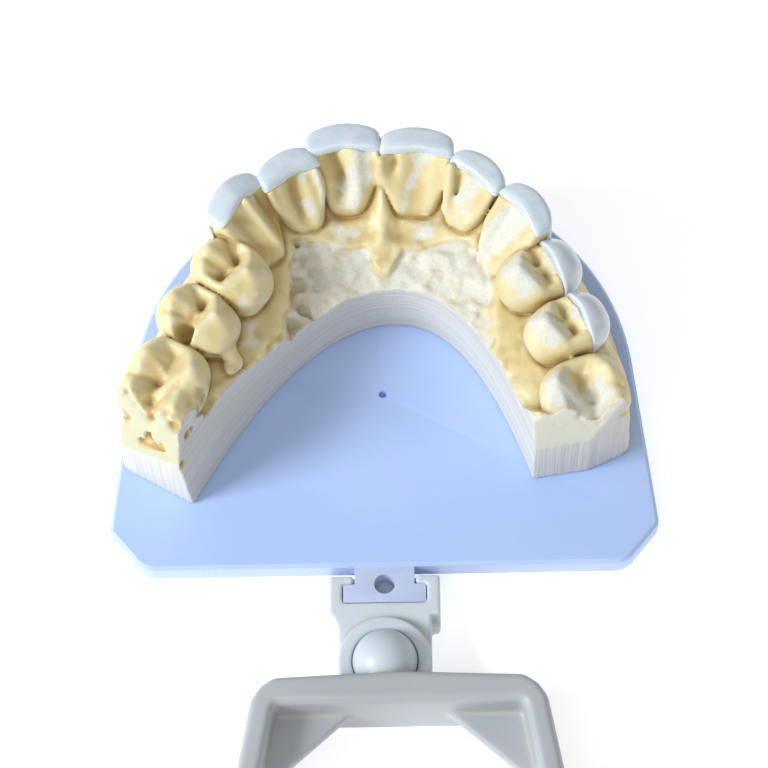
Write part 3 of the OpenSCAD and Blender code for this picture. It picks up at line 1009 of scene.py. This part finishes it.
def ground_stone(m, blot, lines, facet):
    """Cream stone in the lines of the grinding wheel. The slanted facets have a tone for each side: the left
    one, which faces the key lamp, is yellower and painted darker as shade.
    """
    cream = m.mix(m.step(lines, 0.38, 0.62), (0.60, 0.595, 0.565), (0.67, 0.665, 0.64))
    cream = m.mix(m.math("MULTIPLY", m.step(blot, 0.55, 0.75), 0.25), cream, (0.70, 0.66, 0.52))
    # painted shade: the left facet darker than the right, on top of its yellower tone
    facet_tone_and_shade = m.mix(m.step(m.coordinate(0), -0.01, 0.01), (0.56, 0.54, 0.38), (0.71, 0.70, 0.59))
    return m.mix(facet, cream, facet_tone_and_shade)


def stone():
    """Yellow die stone: sealed where cast, scraped white in patches, and ground to cream with wheel marks."""
    m = Nodes("die_stone")
    blot, grain = m.noise(1.6, detail=5.0, seed=7), m.noise(0.35, detail=4.0, seed=3)
    crease_shade, facet = m.mask("crease_shade"), m.mask("facets")
    uneven = m.math("SUBTRACT", blot, 0.5)
    scraped = m.step(m.math("ADD", m.mask("worn"), m.math("MULTIPLY", uneven, 1.6)), 0.22, 0.9)
    colour = m.mix(scraped, sealed_stone(m, blot, crease_shade), scraped_stone(m, grain, crease_shade))
    along = m.noise(1.0, scale=(0.04, 0.04, 2.2), detail=4.0, seed=11)
    upright = m.noise(1.0, scale=(2.0, 2.0, 0.05), detail=4.0, seed=5)
    lines = m.add("ShaderNodeMix", {0: m.mask("ends"), 2: along, 3: upright})
    bare = m.step(m.math("ADD", m.mask("ground"), m.math("MULTIPLY", uneven, 0.5)), 0.45, 0.55)
    m.set(Base_Color=m.mix(bare, colour, ground_stone(m, blot, lines, facet)))
    dull = m.math("MAXIMUM", scraped, bare)
    m.set(Roughness=m.add("ShaderNodeMix", {0: dull, 2: 0.42, 3: 0.85}))
    m.set(Subsurface_Weight=0.06, Subsurface_Scale=0.001)
    scored = m.math("MULTIPLY", lines, m.math("SUBTRACT", bare, facet, clamp=True))
    rough = m.math("MULTIPLY", grain, m.math("ADD", 0.25, scraped))
    m.bump((scored, 0.16), (rough, 0.05), (blot, 0.04))
    return m.material


def ceramic():
    """Glazed bluish-white veneer ceramic, a little uneven where the glaze pooled."""
    m = Nodes("glazed_ceramic")
    cloud, ripple = m.noise(2.5), m.noise(0.7, detail=3.0, seed=4)
    tint = m.mix(m.step(cloud, 0.35, 0.7), (0.57, 0.65, 0.73), (0.66, 0.73, 0.79))
    m.set(Base_Color=m.mix(m.step(m.mask("hollow"), 0.02, 0.15), tint, (0.70, 0.76, 0.80)))
    m.set(Roughness=m.add("ShaderNodeMix", {0: m.step(ripple, 0.4, 0.7), 2: 0.13, 3: 0.26}))
    m.set(Subsurface_Weight=0.2, Subsurface_Scale=0.0012, Coat_Weight=0.5, Coat_Roughness=0.06)
    m.bump((ripple, 0.035), (cloud, 0.06))
    return m.material


def plastic(name, light, dark, rough, corner_dirt_and_shade=0.0, speck=0.0, far=None, near=None):
    """Moulded plastic with faint flow marks, dust specks, and dirt with painted shade in its corners.

    far and near are a distance from the hinge and a colour, which the moulding has beyond it or before it.
    """
    m = Nodes(name)
    flow, grain = m.noise(14.0, detail=2.0), m.noise(0.5, detail=4.0, seed=2)
    colour = m.mix(m.step(flow, 0.3, 0.7), dark, light)
    if far or near:
        place, tone = far or near
        place, width = place * MM, 0.4 * MM * (1 if far else -1)
        from_hinge = m.math("ABSOLUTE", m.coordinate(1))
        colour = m.mix(m.step(from_hinge, place - width, place + width), colour, tone)
    if speck:
        dots = m.add("ShaderNodeTexVoronoi", {"Vector": m.place((0.16, 0.16, 0.16)), "Scale": 1.0})
        colour = m.mix(m.math("MULTIPLY", m.step(dots, 0.05, 0.02), speck), colour, (0.85, 0.86, 0.9))
    # brown in concave corners: partly dirt, partly painted shade
    if corner_dirt_and_shade:
        hollow = m.mask("hollow")
        corners = m.step(m.math("ADD", hollow, m.math("MULTIPLY", grain, -0.03)), -0.03, -0.09)
        colour = m.mix(m.math("MULTIPLY", corners, corner_dirt_and_shade), colour, (0.55, 0.42, 0.22))
    m.set(Base_Color=colour)
    m.set(Roughness=m.add("ShaderNodeMix", {0: m.step(grain, 0.3, 0.7), 2: rough, 3: rough + 0.12}))
    m.set(Subsurface_Weight=0.08, Subsurface_Scale=0.001)
    m.bump((grain, 0.012), (flow, 0.08))
    return m.material


# ---- the whole object ----

STONE, CERAMIC = stone(), ceramic()
TAB_TONE, BALL_TONE = (0.49, 0.57, 0.77), (0.55, 0.61, 0.66)
PLATE_BLUE = plastic(
    "lilac_plate", (0.46, 0.60, 0.93), (0.43, 0.57, 0.90), 0.30, speck=0.35, near=(REAR_Y, TAB_TONE)
)
JOINT_WHITE = plastic("connector_white", (0.62, 0.68, 0.73), (0.58, 0.64, 0.69), 0.33, corner_dirt_and_shade=0.35)
BOW_GREY = plastic(
    "bow_grey_white", (0.435, 0.46, 0.485), (0.405, 0.43, 0.455), 0.34, corner_dirt_and_shade=0.15, far=(BAR_Y, BALL_TONE)
)
PIN_GREY = plastic("pin_grey", (0.42, 0.44, 0.47), (0.38, 0.40, 0.43), 0.45)

stand_for(upper_cast(), "upper_cast", "upper_member", STONE)
stand_for(lower_cast(), "lower_cast", "lower_member", STONE)
for tooth, shell in veneers():
    stand_for(shell, "veneer_" + tooth.name, "upper_member", CERAMIC)
for side in ("upper", "lower"):
    bevelled(side + "_base_plate", side + "_member", PLATE_BLUE, width=0.2)
    moulded(side + "_connector", side + "_member", JOINT_WHITE, step=0.16)
    moulded(side + "_bow", side + "_bow", BOW_GREY, step=0.2)
for hand in ("left", "right"):
    moulded("hinge_pin_" + hand, "upper_bow", PIN_GREY, step=0.12)

# ---- stage, camera and lights ----


def aim(thing, target):
    """Turn a lamp so that it shines at a target."""
    thing.rotation_euler = (Vector(target) - thing.location).to_track_quat("-Z", "Y").to_euler()


def studio_floor():
    """A plain pale floor 4 metres across, a hair below the plates' undersides."""
    m = Nodes("studio_floor")
    m.set(Base_Color=m.mix(m.noise(120.0), (0.93, 0.93, 0.93), (0.95, 0.95, 0.95)), Roughness=0.9)
    m.set(Emission_Color=(1, 1, 1, 1), Emission_Strength=0.48)
    corners = [(x, y, 0) for x, y in ((-2, -2), (2, -2), (2, 2), (-2, 2))]
    mesh = bpy.data.meshes.new("floor")
    mesh.from_pydata(corners, [], [(0, 1, 2, 3)])
    floor = add_to_scene("floor", mesh)
    floor.location.z = -0.02 * MM
    mesh.materials.append(m.material)


CAMERA_LENS = 115.36  # on a sensor 36 wide
CAMERA_PLACE = (5.08, -116.64, 269.38)  # in the upper plate's own frame
CAMERA_ELEVATION, CAMERA_YAW, CAMERA_ROLL = math.radians(62), math.radians(-2), math.radians(-2.8)


def main_camera():
    """The viewpoint: behind the hinge side and high up, looking forwards over the cast."""
    camera = add_to_scene("camera", bpy.data.cameras.new("camera"))
    bpy.context.scene.camera = camera
    camera.data.sensor_width = 36
    camera.data.lens = CAMERA_LENS
    ahead = Vector((math.sin(CAMERA_YAW), math.cos(CAMERA_YAW), 0))
    forward = ahead * math.cos(CAMERA_ELEVATION) - Vector((0, 0, 1)) * math.sin(CAMERA_ELEVATION)
    right = Vector((math.cos(CAMERA_YAW), -math.sin(CAMERA_YAW), 0))
    up = right.cross(forward)
    tilted_right = right * math.cos(CAMERA_ROLL) + up * math.sin(CAMERA_ROLL)
    tilted_up = up * math.cos(CAMERA_ROLL) - right * math.sin(CAMERA_ROLL)
    matrix = Matrix((tilted_right, tilted_up, -forward)).transposed().to_4x4()
    x, y, z = CAMERA_PLACE
    matrix.translation = Vector((x, REAR_Y + y, z)) * MM
    camera.matrix_world = matrix


def lamp(name, place, size, power, colour):
    """A square lamp at a place in metres, aimed at the middle of the upper cast."""
    light = bpy.data.lights.new(name, "AREA")
    light.size = size
    light.energy = power
    light.color = colour
    thing = add_to_scene(name, light)
    thing.location = place
    aim(thing, (0, (REAR_Y + 25) * MM, 0.01))


def studio_world(strength):
    """An even, slightly warm surround."""
    world = bpy.data.worlds.new("studio")
    bpy.context.scene.world = world
    world.use_nodes = True
    background = world.node_tree.nodes["Background"]
    background.inputs["Color"].default_value = (1, 0.985, 0.96, 1)
    background.inputs["Strength"].default_value = strength


studio_floor()
main_camera()
studio_world(0.43)
lamp("key", (-0.50, -0.10, 0.36), 0.22, 3.7, (0.91, 0.96, 1.0))
lamp("front_fill", (-0.05, -0.40, 0.60), 0.5, 1.2, (0.95, 0.98, 1.0))
bpy.context.scene.view_settings.view_transform = "Standard"
